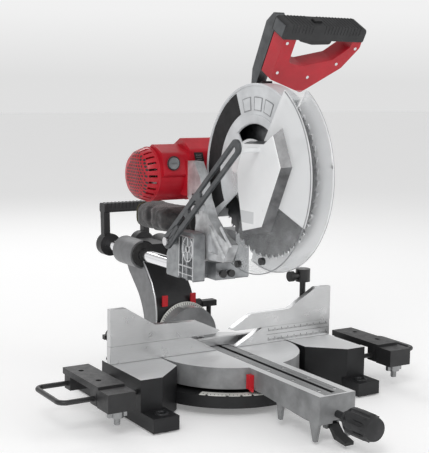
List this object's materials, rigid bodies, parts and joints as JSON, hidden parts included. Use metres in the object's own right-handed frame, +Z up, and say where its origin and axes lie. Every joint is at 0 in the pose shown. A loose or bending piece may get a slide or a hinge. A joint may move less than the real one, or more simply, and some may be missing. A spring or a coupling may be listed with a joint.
{
  "type": "sliding miter saw",
  "caption": "Sliding compound miter saw with rotating table, tilting rail arm, sprung saw head, swinging clear blade guard, sliding fences and bed extensions.",
  "frame": {"origin": "on the floor plane under the turntable axis, at the centre of the four bench bolt holes", "axes": "+X to the operator's right, +Y to the rear, +Z up; the fence face is the plane y = 0"},
  "size_m": [0.779, 0.84, 0.7096],
  "materials": {
    "cast_dark": "satin",
    "cast_grey": "satin",
    "bright_aluminium": "satin",
    "dark_steel": "satin",
    "bright_steel": "gloss",
    "chrome": "gloss",
    "rubber": "matte",
    "black_plastic": "matte",
    "red_plastic": "satin",
    "white_plate": "satin",
    "guard_paint": "satin",
    "clear_plastic": "gloss",
    "white_plastic": "satin",
    "copper": "satin",
    "fabric": "matte"
  },
  "bodies": {
    "base": {"base_casting": "cast_dark", "miter_scale": "bright_steel", "fixed_fence": "bright_aluminium", "rubber_feet": "rubber"},
    "table": {"turntable": "cast_grey", "table_arm": "cast_grey", "kerf_plate": "cast_dark", "kerf_screws": "bright_steel", "miter_pointer": "red_plastic", "bevel_scale": "white_plate"},
    "miter_knob": {"miter_knob": "black_plastic"},
    "detent_lever": {"detent_lever": "black_plastic"},
    "tilt": {"bevel_arm": "cast_dark", "bevel_pointers": "red_plastic", "linear_bearings": "bright_steel", "rail_seals": "rubber", "bevel_pivot_bolt": "bright_steel"},
    "bevel_lock": {"bevel_lock_lever": "black_plastic"},
    "rail_lock": {"rail_lock_knob": "black_plastic"},
    "sled": {"rails": "chrome", "carriage": "cast_grey", "rear_carry_handle": "black_plastic", "pivot_pins": "bright_steel", "depth_stop_screws": "bright_steel", "return_spring": "bright_steel"},
    "stow_pin": {"stow_pin": "black_plastic"},
    "guard_link": {"guard_link": "dark_steel"},
    "head": {"neck_casting": "bright_aluminium", "upper_guard": "guard_paint", "belt_case": "cast_dark", "motor_housing": "red_plastic", "motor_end_cap": "red_plastic", "stator": "copper", "brush_caps": "black_plastic", "drive_belt": "rubber", "dust_boot": "rubber", "dust_bag": "fabric", "handle_body": "red_plastic", "handle_grip": "black_plastic", "handle_arm": "cast_dark"},
    "trigger": {"trigger": "black_plastic"},
    "lock_button": {"lock_button": "black_plastic"},
    "depth_knob": {"depth_stop_knob": "bright_steel"},
    "armature": {"armature": "bright_steel"},
    "blade": {"blade": "bright_steel", "arbor": "bright_steel"},
    "lower_guard": {"lower_guard": "clear_plastic", "guard_hub_cover": "white_plastic"},
    "left_fence": {"left_sliding_fence": "bright_aluminium"},
    "right_fence": {"right_sliding_fence": "bright_aluminium"},
    "left_fence_knob": {"left_fence_knob": "black_plastic"},
    "right_fence_knob": {"right_fence_knob": "black_plastic"},
    "left_rod": {"left_extension_rod": "dark_steel"},
    "right_rod": {"right_extension_rod": "dark_steel"},
    "left_support": {"left_support": "black_plastic"},
    "right_support": {"right_support": "black_plastic"},
    "left_support_screw": {"left_support_screw": "black_plastic"},
    "right_support_screw": {"right_support_screw": "black_plastic"},
    "clamp": {"clamp_post": "bright_steel"},
    "clamp_knob": {"clamp_knob": "black_plastic"}
  },
  "joints": [
    {"name": "miter_turn", "type": "hinge", "parent": "base", "child": "table", "pos_m": [0, 0, 0.045], "axis": [0, 0, 1], "range_deg": [-45, 45]},
    {"name": "miter_knob_turn", "type": "hinge", "parent": "table", "child": "miter_knob", "pos_m": [0, -0.385, 0.051], "axis": [0, 1, 0], "range_deg": [-180, 180]},
    {"name": "detent_press", "type": "hinge", "parent": "table", "child": "detent_lever", "pos_m": [0, -0.325, 0.029], "axis": [1, 0, 0], "range_deg": [-8, 0], "stiffness_Nm_per_rad": 1, "springref_deg": 22.92},
    {"name": "bevel_tilt", "type": "hinge", "parent": "table", "child": "tilt", "pos_m": [0, 0.16, 0.084], "axis": [0, 1, 0], "range_deg": [-33, 45]},
    {"name": "bevel_lock_turn", "type": "hinge", "parent": "tilt", "child": "bevel_lock", "pos_m": [0.06, 0.1825, 0.134], "axis": [1, 0, 0], "range_deg": [-25, 25]},
    {"name": "rail_lock_turn", "type": "hinge", "parent": "tilt", "child": "rail_lock", "pos_m": [0.06, 0.265, 0.237], "axis": [1, 0, 0], "range_deg": [-180, 180]},
    {"name": "rail_slide", "type": "slide", "parent": "tilt", "child": "sled", "axis": [0, -1, 0], "range_m": [-0.12, 0.06]},
    {"name": "stow_pin_pull", "type": "slide", "parent": "sled", "child": "stow_pin", "axis": [1, 0, 0], "range_m": [0, 0.008]},
    {"name": "chop", "type": "hinge", "parent": "sled", "child": "head", "pos_m": [0, 0.004, 0.281], "axis": [1, 0, 0], "range_deg": [0, 63.3], "stiffness_Nm_per_rad": 20, "springref_deg": -68.75},
    {"name": "link_swing", "type": "hinge", "parent": "sled", "child": "guard_link", "pos_m": [-0.101, 0.051, 0.291], "axis": [1, 0, 0], "range_deg": [0, 44]},
    {"name": "guard_swing", "type": "hinge", "parent": "head", "child": "lower_guard", "pos_m": [0, -0.122, 0.428], "axis": [1, 0, 0], "range_deg": [-160, 0]},
    {"name": "armature_spin", "type": "hinge", "parent": "head", "child": "armature", "pos_m": [0, 0.112, 0.412], "axis": [1, 0, 0], "continuous": true},
    {"name": "blade_spin", "type": "hinge", "parent": "head", "child": "blade", "pos_m": [0, -0.122, 0.428], "axis": [1, 0, 0], "continuous": true},
    {"name": "trigger_pull", "type": "slide", "parent": "head", "child": "trigger", "axis": [0, -0.4924, 0.8704], "range_m": [0, 0.005], "stiffness_N_per_m": 400, "springref_m": -0.01},
    {"name": "lock_button_press", "type": "slide", "parent": "head", "child": "lock_button", "axis": [0, 0.4924, -0.8704], "range_m": [0, 0.004], "stiffness_N_per_m": 400, "springref_m": -0.01},
    {"name": "depth_knob_turn", "type": "hinge", "parent": "head", "child": "depth_knob", "pos_m": [-0.068, 0.002, 0.37], "axis": [0, 0, 1], "range_deg": [-180, 180]},
    {"name": "left_fence_slide", "type": "slide", "parent": "base", "child": "left_fence", "axis": [-1, 0, 0], "range_m": [0, 0.08]},
    {"name": "left_fence_knob_turn", "type": "hinge", "parent": "left_fence", "child": "left_fence_knob", "pos_m": [-0.2235, 0.03, 0.128], "axis": [0, 1, 0], "range_deg": [-90, 90]},
    {"name": "left_rod_slide", "type": "slide", "parent": "base", "child": "left_rod", "axis": [-1, 0, 0], "range_m": [0, 0.036]},
    {"name": "left_support_slide", "type": "slide", "parent": "left_rod", "child": "left_support", "axis": [-1, 0, 0], "range_m": [-0.02, 0.045]},
    {"name": "left_support_screw_turn", "type": "hinge", "parent": "left_support", "child": "left_support_screw", "pos_m": [-0.3, -0.136, 0.044], "axis": [0, 0, 1], "range_deg": [-180, 180]},
    {"name": "right_fence_slide", "type": "slide", "parent": "base", "child": "right_fence", "axis": [1, 0, 0], "range_m": [0, 0.08]},
    {"name": "right_fence_knob_turn", "type": "hinge", "parent": "right_fence", "child": "right_fence_knob", "pos_m": [0.2235, 0.03, 0.128], "axis": [0, 1, 0], "range_deg": [-90, 90]},
    {"name": "right_rod_slide", "type": "slide", "parent": "base", "child": "right_rod", "axis": [1, 0, 0], "range_m": [0, 0.036]},
    {"name": "right_support_slide", "type": "slide", "parent": "right_rod", "child": "right_support", "axis": [1, 0, 0], "range_m": [-0.02, 0.045]},
    {"name": "right_support_screw_turn", "type": "hinge", "parent": "right_support", "child": "right_support_screw", "pos_m": [0.3, -0.136, 0.044], "axis": [0, 0, 1], "range_deg": [-180, 180]},
    {"name": "clamp_turn", "type": "hinge", "parent": "base", "child": "clamp", "pos_m": [0.213, 0.05, 0.2], "axis": [0, 0, 1], "range_deg": [-30, 30]},
    {"name": "clamp_knob_turn", "type": "hinge", "parent": "clamp", "child": "clamp_knob", "pos_m": [0.18, 0.05, 0.2], "axis": [1, 0, 0], "range_deg": [-180, 180]}
  ],
  "couplings": [
    {"joint": "guard_swing", "follows": "chop", "ratio": -2.5276},
    {"joint": "link_swing", "follows": "chop", "ratio": 0.689},
    {"joint": "blade_spin", "follows": "armature_spin", "ratio": 0.4}
  ]
}
